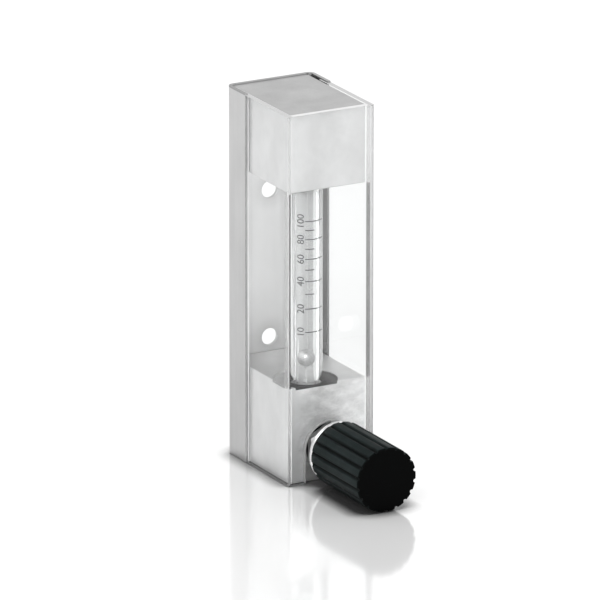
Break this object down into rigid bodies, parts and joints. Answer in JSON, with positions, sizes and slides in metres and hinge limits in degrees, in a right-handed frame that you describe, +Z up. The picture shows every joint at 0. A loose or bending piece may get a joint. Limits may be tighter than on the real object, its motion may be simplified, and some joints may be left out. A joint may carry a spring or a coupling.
{
  "type": "rotameter",
  "caption": "Small glass-tube rotameter in a clear cover between two metal blocks, with a needle valve and a fluted knob at the foot.",
  "frame": {"origin": "middle of the housing's rectangular footprint, on the face it stands on", "axes": "+Z up along the measuring tube, -Y towards the valve knob at the front, +X to the right seen from the front"},
  "size_m": [0.028, 0.0702, 0.111],
  "materials": {
    "stainless_sheet": "fine satin stainless sheet",
    "stainless_block": "bead-blasted stainless steel, faintly mottled",
    "clear_cover": "clear polished acrylic sheet, bent and edge-finished",
    "tube_glass": "clear borosilicate glass, ground ends",
    "black_rubber": "matte black sealing rubber",
    "white_plastic": "white fluoropolymer",
    "polished_steel": "polished stainless steel",
    "turned_steel": "turned stainless steel",
    "black_plastic": "semi-gloss moulded black plastic",
    "brass_insert": "turned brass"
  },
  "bodies": {
    "housing": {"rear_channel": "stainless_sheet", "base_block": "stainless_block", "head_block": "stainless_block", "front_cover": "clear_cover", "glass_tube": "tube_glass", "lower_tube_seat": "black_rubber", "upper_tube_seat": "black_rubber", "lower_tube_gasket": "black_rubber", "upper_tube_gasket": "black_rubber", "lower_float_stop": "white_plastic", "upper_float_stop": "white_plastic", "valve_seat": "turned_steel", "valve_bonnet": "turned_steel", "bonnet_washer": "black_rubber", "bonnet_collar": "polished_steel", "block_screws": "turned_steel"},
    "float": {"float_ball": "polished_steel"},
    "spindle": {"valve_spindle": "turned_steel", "spindle_ring": "black_rubber"},
    "knob": {"knob": "black_plastic", "knob_insert": "brass_insert", "knob_grub_screw": "turned_steel"}
  },
  "joints": [
    {"name": "float_rise", "type": "slide", "parent": "housing", "child": "float", "axis": [0, 0, 1], "range_m": [0, 0.0456]},
    {"name": "needle_travel", "type": "slide", "parent": "housing", "child": "spindle", "axis": [0, -1, 0], "range_m": [0, 0.0027]},
    {"name": "knob_turn", "type": "hinge", "parent": "spindle", "child": "knob", "pos_m": [0, -0.04, 0.0097], "axis": [0, -1, 0], "range_deg": [0, 1800]}
  ],
  "couplings": [
    {"joint": "needle_travel", "follows": "knob_turn", "m_per_rad": 0.000079577}
  ]
}
